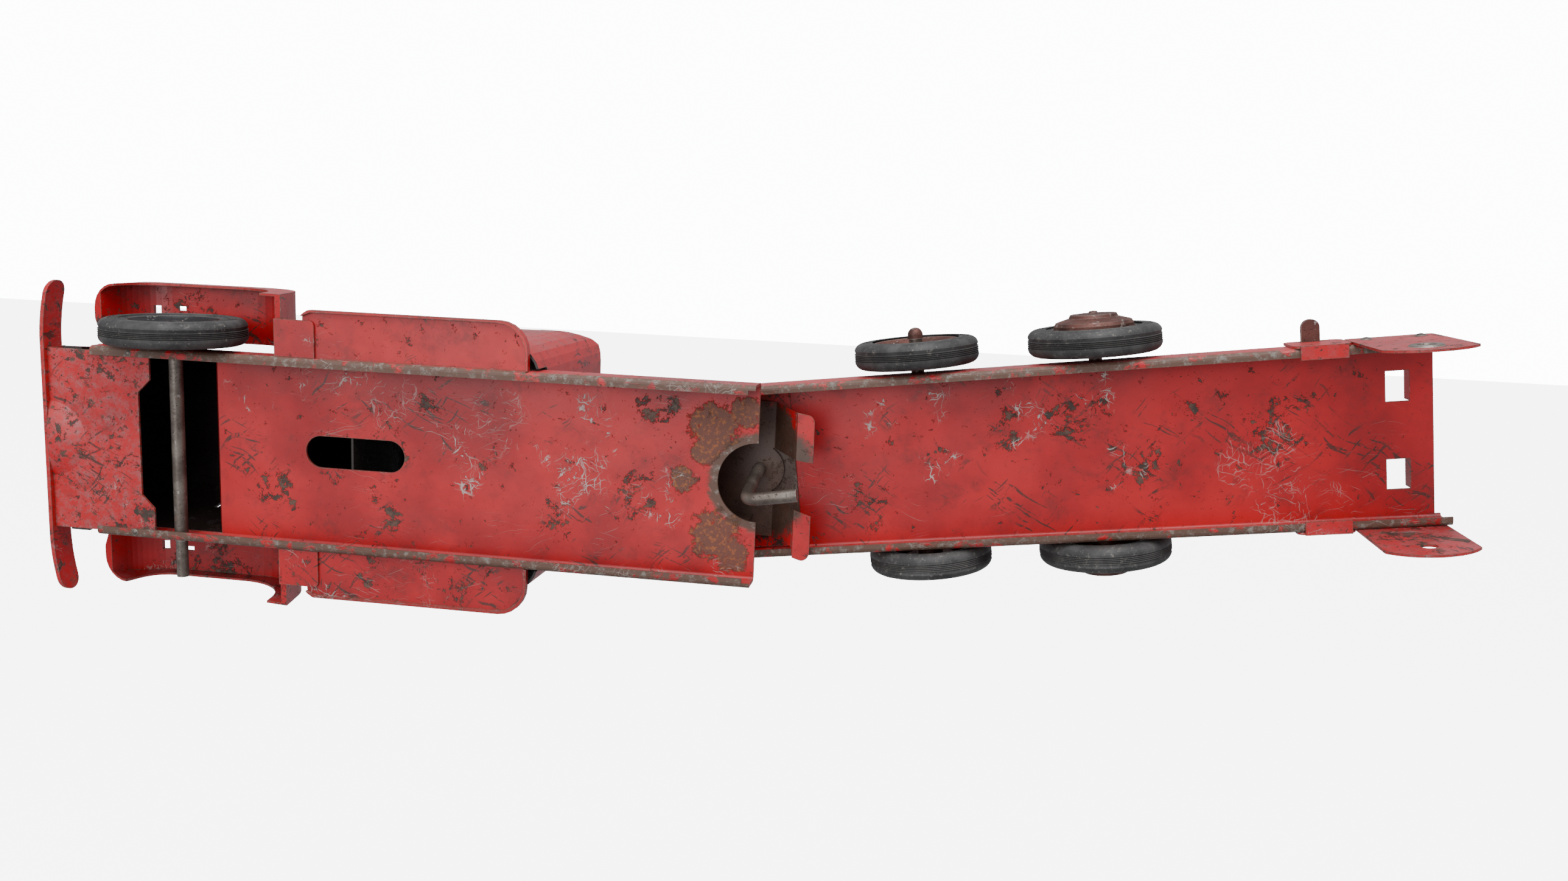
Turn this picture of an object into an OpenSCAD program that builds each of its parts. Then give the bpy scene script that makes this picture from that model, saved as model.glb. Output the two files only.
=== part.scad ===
// Articulated toy tanker truck in pressed steel: a tractor and its tank semi-trailer.
// +X is forward, +Y is the truck's left, +Z is up, and the ground is at z = 0.

/* [Sheet metal and fits] */
// Thickness of the pressed steel
sheet = 0.9; // [0.7:0.1:1.4]
// Outside radius of the folded edges
bend_r = 1.8; // [1.5:0.1:2.5]
// Radial clearance of a wheel or pin that turns
running_fit = 0.06; // [0.02:0.01:0.1]
// Gap between faces that pass each other
side_play = 0.4; // [0.3:0.1:0.8]
// Radius of the axle rods
axle_r = 2.5; // [2:0.1:3.2]
// How much the front axle's ends are turned down, where the wheels sit
journal_step = 0.3; // [0.2:0.05:0.5]
// Radius of the rivet heads
rivet_r = 2; // [1.4:0.1:2.6]

/* [Tractor chassis] */
// Length of the side rails
chassis_len = 258; // [230:1:320]
// Width over the side rails
chassis_w = 74; // [64:1:90]
// Depth of the side rails
chassis_d = 11.5; // [10:0.5:16]
// Width of the turned-in lips
chassis_lip = 3.5; // [2.5:0.5:5]
// Lip cut back from the rear end
lip_cut = 2.7; // [0:0.1:6]
// Open bay ahead of the deck, under the hood
front_bay = 46; // [40:1:54]
// Radius of the rear notch that clears the hitch pin
notch_r = 14.7; // [12:0.1:18]
// Length of the floor slot
slot_len = 40; // [30:1:50]
// Width of the floor slot
slot_w = 12.3; // [8:0.1:16]
// Centre of the floor slot behind the front axle
slot_setback = 69; // [60:1:76]

/* [Tractor body] */
// How far the cab stands out past the rails
cab_overhang = 10; // [6:0.5:14]
// Distance from the chassis' rear edge to the cab's rear wall
cab_setback = 80; // [70:1:90]
// Height of the cab over the deck
cab_h = 74; // [60:1:90]
// Distance from the cab's front wall to the front axle
cowl_gap = 67; // [60:1:72]
// Height of the hood over the deck
hood_h = 46; // [38:1:54]
// How far the fenders stand out past the rails
fender_w = 23; // [18:0.5:28]
// Height of the fender's crown over the front wheel
fender_gap = 6; // [4:0.5:12]
// How far the running boards stand out past the rails
board_w = 18; // [12:0.5:22]
// How far the bumper stands out past the rails
bumper_overhang = 24; // [18:0.5:30]
// Height of the bumper strip
bumper_h = 10; // [7:0.5:14]
// Thickness of the bumper strip
bumper_t = 1.6; // [1:0.1:2.5]
// Distance from the rails' front end to the bumper's front
nose_gap = 20; // [18:1:28]
// Length of the plate under the grille
plate_len = 44; // [40:1:50]
// Depth of the grille shell
grille_d = 8; // [5:0.5:12]

/* [Front axle and wheel] */
// Distance from the rails' front end back to the axle
axle_setback = 33; // [28:1:38]
// Axle centre below the deck's underside
axle_drop = 6.5; // [4.5:0.5:8]
// Radius of the front tyre
front_tyre_r = 26; // [22:0.5:31]
// Width of the tyres
tyre_w = 10; // [8:0.5:12]
// Length of bare axle past the right rail
bare_axle = 15; // [12:0.5:20]

/* [Trailer chassis] */
// Length of the trailer chassis
bed_len = 273; // [250:1:330]
// Width over the trailer's side rails
bed_w = 66; // [56:1:80]
// Depth of the trailer's side rails
bed_d = 14; // [11:0.5:18]
// Width of the trailer's turned-in lips
bed_lip = 3.2; // [2:0.1:5]
// Angle of the trailer to the tractor as it stands
trailer_yaw = 7.4; // [0:0.1:20]
// Distance from the trailer's nose to the hitch pin
pin_setback = 26; // [20:1:32]
// Length of the doubler plate on the nose
doubler_len = 40; // [34:1:50]
// Length of the ears for the rear axle
ear_len = 30; // [24:1:36]
// Rear axle centre below the deck's underside
ear_drop = 40; // [30:1:50]
// Radius of the rear axle holes
ear_hole_r = 2.75; // [2.5:0.05:3.2]

/* [Trailer wheels] */
// Radius of the first pair's tyres
tyre_1_r = 23.5; // [20:0.5:28]
// Radius of the second pair's tyres
tyre_2_r = 24.5; // [20:0.5:28]
// Distance from the nose to the first axle
axle_1_setback = 89; // [80:1:95]
// Distance between the two axles
axle_spread = 66; // [58:1:80]
// Axle centres above the deck's underside
axle_rise = 5; // [4.5:0.5:8]
// Gap between the rail and the left wheels
left_gap = 2; // [1:0.1:4]
// Gap between the rail and the right wheels
right_gap = 0.8; // [0.6:0.1:4]

/* [Tank] */
// Radius of the tank
tank_r = 22; // [18:0.5:24]
// Length of the tank's barrel
tank_len = 212; // [180:1:250]
// Distance from the trailer's nose to the tank's barrel
tank_setback = 32; // [28:1:44]
// Gap between the axles and the tank
tank_gap = 1; // [0.6:0.1:4]
// How far the tank's ends bulge
head_bulge = 5; // [3:0.5:7]
// Radius of the filler necks
filler_r = 8; // [6:0.5:10]
// Height of the filler necks over the tank
filler_h = 5; // [3:0.5:8]

/* [Hitch] */
// Distance from the chassis' rear edge to the hitch pin
pin_inset = 4; // [2:0.5:6]
// Radius of the hitch pin
pin_r = 2.4; // [2:0.1:3]
// Length of the pin's bent end
hook_len = 19; // [12:0.5:22]
// Angle of the bent end to the trailer's centre line
hook_skew = 2; // [0:0.5:12]
// Sideways lean of the pin below the fifth wheel
pin_lean = 10; // [0:0.5:12]
// Half width of the gap at the root of the rear ramps
ramp_gap = 8.5; // [6:0.5:11]
// Radius of the round tongue that holds the pin
tongue_r = 9.5; // [8:0.5:11]

/* [Hidden] */
$fn = 64;

paint_red = [0.72, 0.12, 0.13];
worn_red = [0.55, 0.16, 0.14];
bare_steel = [0.42, 0.38, 0.35];
rust_brown = [0.42, 0.24, 0.2];
tyre_black = [0.12, 0.12, 0.13];

// Tractor heights
axle_z = front_tyre_r;
deck_z = axle_z + axle_drop;
deck_top = deck_z + sheet;
lip_z = deck_top - chassis_d;
lip_top = lip_z + sheet;
board_z = lip_z + 2.2;
board_top = board_z + sheet;

// Tractor stations, forward of the chassis' rear edge
axle_x = chassis_len - axle_setback;
deck_len = chassis_len - front_bay;
nose_x = chassis_len + nose_gap;
plate_front = nose_x - bumper_t;
plate_rear = nose_x - plate_len;
grille_front = plate_front - sheet - 5;
grille_rear = grille_front - grille_d;
cab_front = axle_x - cowl_gap;
roof_z = deck_z + cab_h;
belt_z = deck_z + 0.6 * cab_h;
seam_z = roof_z - 10;
windscreen_rake = 12;
cab_half_w = chassis_w / 2 + cab_overhang;
roof_half_w = cab_half_w - 6;
hood_half_w = chassis_w / 2 - 0.5;
hood_top = deck_z + hood_h;
hood_taper = 6;
slot_x = axle_x - slot_setback;
fender_rear = axle_x - 44;
fender_front = axle_x + 42;
fender_half_w = chassis_w / 2 + fender_w;
fender_top = axle_z + front_tyre_r + fender_gap;
fender_corner = 10;
valance = 7;
board_front = fender_rear - 9;
board_rear = cab_setback + 4;
board_half_w = chassis_w / 2 + board_w;
board_rim = 1.6;
foot_len = 14;
bumper_z = lip_z - 1;
bumper_half_w = chassis_w / 2 + bumper_overhang;
plate_half_w = chassis_w / 2 - bend_r;

// Trailer heights
bed_z = tyre_1_r + ear_drop;
bed_top = bed_z + sheet;
bed_lip_z = bed_top - bed_d;
saddle_axle_z = bed_z + axle_rise;
tank_z = saddle_axle_z + axle_r + tank_gap + tank_r;

// Trailer stations, forward of the hitch pin
pin_x = pin_inset;
bed_rear = pin_setback - bed_len;
axle_1_x = pin_setback - axle_1_setback;
axle_2_x = axle_1_x - axle_spread;
ear_front = bed_rear + ear_len + 1.5;
ear_x = ear_front - ear_len / 2;
tank_front = pin_setback - tank_setback;
tank_rear = tank_front - tank_len;
lever_x = ear_front + 8;
lever_w = 6.5;
lever_t = 1.4;
lever_root = 6;
lever_reach = 9;
left_wheel_y = bed_w / 2 + left_gap;
right_wheel_y = -bed_w / 2 - right_gap;
front_wheel_y = chassis_w / 2 + left_gap;

// Hitch
plate_gap = side_play;
doubler_z = bed_z - sheet;
fifth_top = doubler_z - plate_gap;
fifth_z = fifth_top - sheet;
ramp_z = bed_lip_z - side_play - sheet - 3;
ramp_start = -5;
ramp_end = -15.5;
flap_end = -22.5;
flap_flare = 6;
fifth_swing_r = bed_w / 2 - bed_lip - 2 * side_play;
ramp_slope = (ramp_end - ramp_start) / (fifth_top - ramp_z);
ramp_lip_x = ramp_start + ramp_slope * (fifth_top - bed_lip_z - sheet);
fifth_half_w = sqrt(fifth_swing_r * fifth_swing_r - ramp_lip_x * ramp_lip_x);
hook_bend_r = 4.5;
hook_z = deck_z - side_play - pin_r - 3.5;

// Wheels
front_hub_r = 0.66 * front_tyre_r;
hub_1_r = 0.7 * tyre_1_r;
hub_2_r = 0.66 * tyre_2_r;
hub_barrel_r = axle_r + 2.2;
cap_r = axle_r + 0.4;

// The row's origin is the middle of its bounding box, at the ground
trailer_back = bed_rear * cos(trailer_yaw) - bed_w / 2 * sin(trailer_yaw);
trailer_left = -lever_x * sin(trailer_yaw) + (bed_w / 2 + lever_reach) * cos(trailer_yaw);
row_x = (nose_x + pin_x + trailer_back) / 2;
row_y = (trailer_left - bumper_half_w) / 2;

module on_tractor() {
    translate([-row_x, -row_y, 0]) children();
}

module on_trailer() {
    on_tractor() translate([pin_x, 0, 0]) rotate([0, 0, -trailer_yaw]) children();
}

// Points of the arc that rounds corner b, where b[2] is its radius
function unit(v) = v / norm(v);
function flat(p) = [p[0], p[1]];
function corner_arc(a, b, c, n) =
    b[2] == 0 ? [flat(b)] :
    let (
        u = unit(flat(a) - flat(b)),
        v = unit(flat(c) - flat(b)),
        half = acos(u * v) / 2,
        mid = flat(b) + unit(u + v) * b[2] / sin(half),
        start = flat(b) + u * b[2] / tan(half) - mid,
        end = flat(b) + v * b[2] / tan(half) - mid,
        from = atan2(start[1], start[0]),
        turn = (atan2(end[1], end[0]) - from + 900) % 360 - 180
    )
    [for (i = [0:n]) mid + b[2] * [cos(from + turn * i / n), sin(from + turn * i / n)]];

// Closed outline through corners [x, y, radius]
function outline(pts, n = 6) =
    [for (i = [0:len(pts) - 1])
        each corner_arc(pts[(i + len(pts) - 1) % len(pts)], pts[i], pts[(i + 1) % len(pts)], n)];

module rounded(pts, n = 6) {
    polygon(outline(pts, n));
}

// A section drawn in Y and Z, run forward along X
module along_x(len) {
    rotate([90, 0, 90]) linear_extrude(len) children();
}

// A profile drawn in X and Z, run across Y and centred on it
module along_y(len) {
    rotate([90, 0, 0]) linear_extrude(len, center = true) children();
}

module rod_y(r, len) {
    rotate([90, 0, 0]) cylinder(r = r, h = len, center = true);
}

// Wheel parts are turned about Z and stood on edge, with their outer face to the given side
module on_axle(x, y, z, side) {
    translate([x, y, z]) rotate([-90 * side, 0, 0]) children();
}

module rivet(r = rivet_r) {
    intersection() {
        cylinder(r = r, h = 0.45 * r);
        translate([0, 0, -r]) sphere(r = 1.45 * r);
    }
}

// Channel with folded side rails and turned-in lips, its deck's underside at z = 0
function channel_corners(w, depth, lip) =
    let (top = sheet, low = sheet - depth, out = w / 2, in_r = bend_r - sheet)
    [
        [-out, top, bend_r], [out, top, bend_r], [out, low, bend_r], [out - lip, low, 0],
        [out - lip, low + sheet, 0], [out - sheet, low + sheet, in_r], [out - sheet, 0, in_r],
        [sheet - out, 0, in_r], [sheet - out, low + sheet, in_r], [lip - out, low + sheet, 0],
        [lip - out, low, 0], [-out, low, bend_r]
    ];

module channel(len, w, depth, lip) {
    along_x(len) rounded(channel_corners(w, depth, lip), 4);
}

// ---- Tractor ----

module floor_slot() {
    reach = (slot_len - slot_w) / 2;
    translate([slot_x, 0, deck_z - 1]) {
        for (end = [-1, 1]) translate([end * reach, 0, 0]) cylinder(d = slot_w, h = sheet + 2);
        translate([-reach, -slot_w / 2, 0]) cube([2 * reach, slot_w, sheet + 2]);
    }
}

// Web bent up ahead of the deck, as wide as the rails and then the hood allow
module toe_board() {
    rise = 15;
    run = 10;
    intersection() {
        along_y(chassis_w - 2 * sheet) polygon([
            [deck_len, deck_z], [deck_len + run, deck_z + rise],
            [deck_len + run - sheet, deck_z + rise], [deck_len - sheet, deck_z + sheet]
        ]);
        union() {
            translate([deck_len - 1, 0, 0]) along_x(run + 2) rounded(hood_corners(deck_top, sheet + 0.1), 8);
            translate([deck_len - 1, -chassis_w / 2, deck_z]) cube([run + 2, chassis_w, sheet]);
        }
    }
}

module tractor_chassis() {
    inner = chassis_w / 2 - bend_r;
    color(paint_red) on_tractor() {
        difference() {
            translate([0, 0, deck_z]) channel(chassis_len, chassis_w, chassis_d, chassis_lip);
            translate([0, 0, deck_z - 1]) cylinder(r = notch_r, h = sheet + 2);
            floor_slot();
            translate([deck_len, -inner, deck_z - 1]) cube([chassis_len, 2 * inner, sheet + 2]);
            translate([-1, -inner, lip_z - 1]) cube([lip_cut + 1, 2 * inner, sheet + 1]);
            translate([axle_x, 0, axle_z]) rod_y(axle_r + running_fit, chassis_w + 2);
        }
        toe_board();
    }
}

// Plate under the grille, with a pressed half-moon and a folded front edge
moon_r = 14.4;
moon_d = 2.6;
moon_sphere = (moon_r * moon_r + moon_d * moon_d) / (2 * moon_d);

module plate_shape() {
    ear = 25;
    recess = 5;
    linear_extrude(sheet) difference() {
        polygon([
            [plate_front, -plate_half_w], [plate_front, plate_half_w],
            [plate_rear, plate_half_w], [plate_rear, ear], [plate_rear + recess, ear - recess],
            [plate_rear + recess, recess - ear], [plate_rear, -ear], [plate_rear, -plate_half_w]
        ]);
        translate([plate_front - 4.2, -2.9]) square([1.4, 5.8]);
    }
}

module half_moon(grow) {
    translate([plate_front, 0, lip_top + sheet - moon_d + moon_sphere])
        sphere(r = moon_sphere + grow, $fn = 160);
}

module front_plate() {
    color(worn_red) on_tractor() {
        difference() {
            union() {
                translate([0, 0, lip_top]) plate_shape();
                intersection() {
                    half_moon(sheet);
                    translate([plate_front - moon_sphere, -moon_sphere, lip_top - moon_d - 2])
                        cube([moon_sphere, 2 * moon_sphere, moon_d + 2]);
                }
            }
            half_moon(0);
        }
        translate([plate_front - sheet, -plate_half_w, lip_top]) cube([sheet, 2 * plate_half_w, 9]);
    }
}

// Bumper strip, flat between the rails and bowed back towards its rounded ends
bow = 3.5;
bow_steps = 8;
bumper_ys = concat(
    [for (i = [bow_steps:-1:0]) -chassis_w / 2 - bumper_overhang * i / bow_steps],
    [for (i = [0:bow_steps]) chassis_w / 2 + bumper_overhang * i / bow_steps]
);
function bow_x(y) = nose_x - bow * pow((abs(y) - chassis_w / 2) / bumper_overhang, 2);

module bumper() {
    front = [for (y = bumper_ys) [bow_x(y), y]];
    back = [for (i = [len(bumper_ys) - 1:-1:0]) [bow_x(bumper_ys[i]) - bumper_t, bumper_ys[i]]];
    end_r = 0.49 * bumper_h;
    color(worn_red) on_tractor() intersection() {
        translate([0, 0, bumper_z - 1]) linear_extrude(bumper_h + 2) polygon(concat(front, back));
        translate([nose_x - 2 * bow, 0, 0]) along_x(3 * bow) rounded([
            [-bumper_half_w, bumper_z, end_r], [bumper_half_w, bumper_z, end_r],
            [bumper_half_w, bumper_z + bumper_h, end_r], [-bumper_half_w, bumper_z + bumper_h, end_r]
        ]);
    }
}

// Section of the hood and grille from height low, drawn in by inset
function hood_corners(low, inset) = [
    [inset - hood_half_w, low, 0], [hood_half_w - inset, low, 0],
    [hood_half_w - hood_taper - inset, hood_top - inset, 20 - inset],
    [hood_taper + inset - hood_half_w, hood_top - inset, 20 - inset]
];

// Grille shell that closes the hood's front end, with grooves pressed between its bars
module grille() {
    bars = 9;
    groove = 0.5;
    draw_in = 0.4;
    slot_step = 2 * (hood_half_w - hood_taper) / (bars + 2);
    low = lip_top + sheet;
    color(paint_red) on_tractor() translate([grille_rear, 0, 0]) difference() {
        along_x(grille_d) rounded(hood_corners(low, draw_in), 8);
        translate([-sheet, 0, 0]) along_x(grille_d) rounded(hood_corners(low + sheet, draw_in + sheet), 8);
        for (i = [0:bars - 1])
            translate([grille_d - groove, (i - (bars - 1) / 2) * slot_step - 1.2, low + 8])
                cube([1, 2.4, hood_top - low - 16 - 0.9 * abs(i - (bars - 1) / 2)]);
    }
}

module hood() {
    louvres = 6;
    color(paint_red) on_tractor() difference() {
        translate([cab_front, 0, 0]) along_x(grille_rear - cab_front) difference() {
            rounded(hood_corners(deck_top, 0), 8);
            rounded(hood_corners(deck_top - 1, sheet), 8);
        }
        for (i = [0:louvres - 1])
            translate([cab_front + 38 + 7 * i, -hood_half_w - 1, deck_top + 26])
                cube([1.6, 2 * hood_half_w + 2, 9]);
    }
}

// Cab and roof are one rounded block, drawn in by inset and parted at the roof seam
module cab_block(inset) {
    spill = inset > 0 ? 1 : 0;
    intersection() {
        translate([0, 0, board_top - spill]) linear_extrude(roof_z) rounded([
            [cab_setback + inset, inset - cab_half_w, 13 - inset],
            [cab_setback + inset, cab_half_w - inset, 13 - inset],
            [cab_front - inset, cab_half_w - inset, 7 - inset],
            [cab_front - inset, inset - cab_half_w, 7 - inset]
        ]);
        along_y(3 * cab_half_w) rounded([
            [cab_setback - 5, 0, 0], [cab_setback - 5, belt_z, 0],
            [cab_setback + inset, roof_z - inset, 13 - inset],
            [cab_front - windscreen_rake - inset, roof_z - inset, 10 - inset],
            [cab_front - inset, belt_z, 0], [cab_front + 5, belt_z - 3, 0], [cab_front + 5, 0, 0]
        ], 8);
        translate([cab_setback - 1, 0, 0]) along_x(cab_front - cab_setback + 2) rounded([
            [-cab_half_w - 2, 0, 0], [cab_half_w + 2, 0, 0], [cab_half_w + 2 - inset, belt_z, 0],
            [roof_half_w - inset, roof_z - inset, 13 - inset],
            [inset - roof_half_w, roof_z - inset, 13 - inset], [inset - cab_half_w - 2, belt_z, 0]
        ], 8);
    }
}

module cab_windows() {
    sill = belt_z + 5;
    head = seam_z - 4;
    pane = roof_half_w - 12;
    // Side windows
    for (side = [-1, 1]) translate([0, side * cab_half_w, 0]) along_y(24) rounded([
        [cab_setback + 20, sill, 4], [cab_setback + 20, head, 4],
        [cab_front - windscreen_rake - 8, head, 4], [cab_front - 12, sill, 4]
    ]);
    // Split windscreen
    for (side = [-1, 1]) translate([cab_front - 16, side * (3 + pane / 2), 0]) along_x(24) rounded([
        [-pane / 2, sill, 3], [pane / 2, sill, 3], [pane / 2, head, 3], [-pane / 2, head, 3]
    ]);
    // Rear window
    translate([cab_setback - 2, 0, 0]) along_x(12) rounded([
        [-18, sill, 3], [18, sill, 3], [18, head, 3], [-18, head, 3]
    ]);
}

module cab_shell() {
    difference() {
        cab_block(0);
        cab_block(sheet);
        cab_windows();
        translate([0, -chassis_w / 2 - sheet, 0]) cube([chassis_len, chassis_w + 2 * sheet, deck_top]);
    }
}

module cab() {
    color(paint_red) on_tractor() intersection() {
        cab_shell();
        translate([0, -cab_half_w - 1, 0]) cube([chassis_len, 2 * cab_half_w + 2, seam_z]);
    }
}

module cab_roof() {
    color(paint_red) on_tractor() intersection() {
        cab_shell();
        translate([0, -cab_half_w - 1, seam_z]) cube([chassis_len, 2 * cab_half_w + 2, roof_z]);
    }
}

// Side profile of the fender's arch, drawn in by inset and open below
module arch(inset) {
    low = inset > 0 ? -10 : 0;
    rounded([
        [fender_rear + inset, board_top + low, 0], [fender_rear + 7 + inset, fender_top - inset, 24],
        [fender_front - 7 - inset, fender_top - inset, 17 - min(inset, 6)],
        [fender_front - inset, axle_z + 12 + low, 0]
    ], 10);
}

// Plan of the left fender, drawn in by inset on its front and outer edges
module fender_plan(inset) {
    side = chassis_w / 2;
    rounded([
        [fender_rear - 30, side, 0], [fender_front - 3 - inset, side, 0],
        [fender_front - 2 - inset, side + 3.5, 1.5], [fender_front - inset, side + 9, 4],
        [fender_front - inset, fender_half_w - inset, fender_corner - inset],
        [fender_rear - 30, fender_half_w - inset, 0]
    ]);
}

module lamp_slots() {
    translate([fender_front - 16, fender_half_w - 13, fender_top - 20]) cube([2.6, 3.6, 40]);
    translate([fender_front - 26.5, fender_half_w - 11, fender_top - 20]) cube([3.2, 1.7, 40]);
}

module fender() {
    deep = 3 * fender_half_w;
    difference() {
        intersection() {
            linear_extrude(fender_top + 1) fender_plan(0);
            union() {
                along_y(deep) difference() {
                    arch(0);
                    arch(sheet);
                }
                intersection() {
                    along_y(deep) difference() {
                        arch(0);
                        arch(valance);
                    }
                    linear_extrude(fender_top + 1) difference() {
                        fender_plan(0);
                        fender_plan(sheet);
                    }
                }
            }
        }
        lamp_slots();
    }
    // Foot that laps the running board
    translate([fender_rear - foot_len, chassis_w / 2, board_z - sheet])
        linear_extrude(sheet) rounded([
            [0, 0, 0], [foot_len + 2, 0, 0], [foot_len + 2, foot_len, 0], [0, foot_len, 2]
        ]);
    translate([fender_rear, chassis_w / 2, board_z - sheet]) cube([2, foot_len, 2 * sheet + 1.5]);
}

module left_fender() {
    color(paint_red) on_tractor() fender();
}

module right_fender() {
    color(paint_red) on_tractor() mirror([0, 1, 0]) fender();
}

// Running board with a flange against the rail and a turned-down outer and rear edge
module running_board() {
    difference() {
        translate([0, 0, board_z - board_rim]) linear_extrude(sheet + board_rim) board_plan(0);
        translate([0, 0, board_z - board_rim - 1]) linear_extrude(board_rim + 1) board_plan(sheet);
    }
    translate([board_rear + 2, chassis_w / 2, board_z]) cube([board_front - board_rear - 4, sheet, 6]);
}

// Plan of the left running board, drawn in by inset on its outer and rear edges
module board_plan(inset) {
    spill = inset > 0 ? 1 : 0;
    side = chassis_w / 2 - spill;
    rounded([
        [board_rear + inset, side, 0], [board_front + spill, side, 0],
        [board_front + spill, board_half_w - 2 - inset, 2],
        [board_front - 3 - inset, board_half_w - inset, 2],
        [board_rear + inset, board_half_w - inset, 11]
    ]);
}

module left_running_board() {
    color(paint_red) on_tractor() running_board();
}

module right_running_board() {
    color(paint_red) on_tractor() mirror([0, 1, 0]) running_board();
}

// Front axle: a rod through the rails with a journal at each end
module front_axle() {
    shoulder = chassis_w / 2 + 0.5;
    right_end = -chassis_w / 2 - bare_axle;
    left_end = front_wheel_y + tyre_w - 2;
    color(bare_steel) on_tractor() translate([axle_x, 0, axle_z]) {
        rod_y(axle_r, 2 * shoulder);
        translate([0, (right_end + left_end) / 2, 0]) rod_y(axle_r - journal_step, left_end - right_end);
    }
}

// ---- Wheels ----

// Tyre turned about Z from z = 0 to z = w, ribbed on its tread and outer wall
module tyre(r, w, bore) {
    rib = 0.5;
    wall = r - bore;
    color(tyre_black) rotate_extrude($fn = 128) polygon(concat(
        [[bore, 0.12 * w], [bore + 0.2 * wall, 0.04 * w], [bore + 0.55 * wall, 0]],
        [for (i = [0:6]) let (a = -90 + 75 * i / 6)
            [r - 0.34 * w + 0.34 * w * cos(a), 0.34 * w + 0.34 * w * sin(a)]],
        [for (i = [0:4]) each [[r, (0.34 + 0.064 * i) * w + 0.1], [r - rib, (0.36 + 0.064 * i) * w + 0.1]]],
        [for (i = [0:6]) let (a = 15 + 75 * i / 6)
            [r - 0.34 * w + 0.34 * w * cos(a), 0.66 * w + 0.34 * w * sin(a)]],
        [for (i = [0:2]) let (q = r - 0.38 * w - 1.3 * i) each [[q, w - rib], [q - 0.6, w]]],
        [[bore + 0.2 * wall, 0.96 * w], [bore, 0.88 * w]]
    ));
}

// Dished hub disc turned about Z, with a barrel on the axle
module hub(r, w, dish, cone_r, journal = axle_r) {
    face = 0.88 * w;
    rotate_extrude($fn = 96) polygon([
        [journal + running_fit, 0], [hub_barrel_r, 0], [hub_barrel_r, face - dish - sheet],
        [cone_r, face - dish - sheet], [r - 1.6, face - sheet - 0.6], [r - sheet, 0.12 * w], [r, 0.12 * w],
        [r, face], [r - 0.9, face + 0.7], [r - 1.8, face], [cone_r + 0.6, face - dish],
        [hub_barrel_r + 0.6, face - 0.25 * dish], [journal + running_fit, face - 0.1 * dish]
    ]);
}

module front_tyre() {
    on_tractor() on_axle(axle_x, front_wheel_y, axle_z, 1) tyre(front_tyre_r, tyre_w, front_hub_r);
}

module front_hub() {
    color(tyre_black) on_tractor() on_axle(axle_x, front_wheel_y, axle_z, 1)
        hub(front_hub_r, tyre_w, 2.2, 0.62 * front_hub_r, axle_r - journal_step);
}

module trailer_tyre(x, y, side, r, bore) {
    on_trailer() on_axle(x, y, saddle_axle_z, side) tyre(r, tyre_w, bore);
}

module trailer_hub(x, y, side, r, dish) {
    color(rust_brown) on_trailer() on_axle(x, y, saddle_axle_z, side) hub(r, tyre_w, dish, 0.55 * r);
}

// Domed cap pressed over a second pair hub, hollow over the axle's end
module hubcap(y, side) {
    rim = 0.9 * hub_2_r;
    disc = 0.58 * rim;
    base = 0.88 * tyre_w + 0.75;
    color(rust_brown) on_trailer() on_axle(axle_2_x, y, saddle_axle_z, side)
        rotate_extrude($fn = 96) polygon([
        [0, base + 3.4], [disc - 1, base + 3.4], [rim - 0.9, base], [rim, base], [rim, base + 1.2],
        [rim - 0.8, base + 2.4], [disc + 0.6, base + 3.8], [disc, base + 5], [1.8, base + 5.4],
        [1.4, base + 6], [0, base + 6.2]
    ]);
}

module trailer_axle(x, reach) {
    left_end = left_wheel_y + tyre_w + reach;
    right_end = right_wheel_y - tyre_w - reach;
    color(bare_steel) on_trailer() translate([x, (left_end + right_end) / 2, saddle_axle_z])
        rod_y(axle_r, left_end - right_end);
}

module first_axle() {
    trailer_axle(axle_1_x, 0.2);
}

module second_axle() {
    trailer_axle(axle_2_x, 0.2);
}

// Acorn caps pressed on the ends of the first axle
module first_axle_caps() {
    color(bare_steel) on_trailer()
        for (end = [[left_wheel_y + tyre_w, 1], [right_wheel_y - tyre_w, -1]])
            on_axle(axle_1_x, end[0], saddle_axle_z, end[1]) translate([0, 0, 0.2]) {
                cylinder(r = cap_r, h = 1.4);
                intersection() {
                    translate([0, 0, 1.4]) sphere(r = cap_r);
                    cylinder(r = cap_r, h = 1.4 + cap_r);
                }
            }
}

// ---- Hitch ----

// Fifth wheel plate: a round tongue with the pin's hole, between two ramps that end in flaps
module fifth_wheel() {
    nose = 22;
    half = fifth_half_w;
    wide = half + flap_flare;
    color(paint_red) on_tractor() translate([pin_x, 0, 0]) difference() {
        union() {
            intersection() {
                along_y(2 * wide + 2) polygon([
                    [nose + 1, fifth_z], [nose + 1, fifth_top], [ramp_start, fifth_top],
                    [ramp_end, ramp_z + sheet], [flap_end - 1, ramp_z + sheet], [flap_end - 1, ramp_z],
                    [ramp_end - 0.6, ramp_z], [ramp_start - 0.6, fifth_z]
                ]);
                linear_extrude(bed_z) difference() {
                    rounded([
                        [nose, -half, 8], [nose, half, 8], [ramp_start, half, 0],
                        [flap_end, half - 2.5, 3], [flap_end, -wide, 3],
                        [ramp_end - 0.5, 2 - wide, 0], [ramp_end, -half, 0]
                    ]);
                    polygon([
                        [ramp_start, -ramp_gap], [ramp_start, ramp_gap],
                        [flap_end - 1, ramp_gap - 2.5], [flap_end - 1, -ramp_gap - 6]
                    ]);
                }
            }
            translate([0, 0, fifth_z]) cylinder(r = tongue_r, h = sheet);
        }
        translate([0, 0, fifth_z - 1]) cylinder(r = pin_r + running_fit, h = sheet + 2);
    }
}

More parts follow.
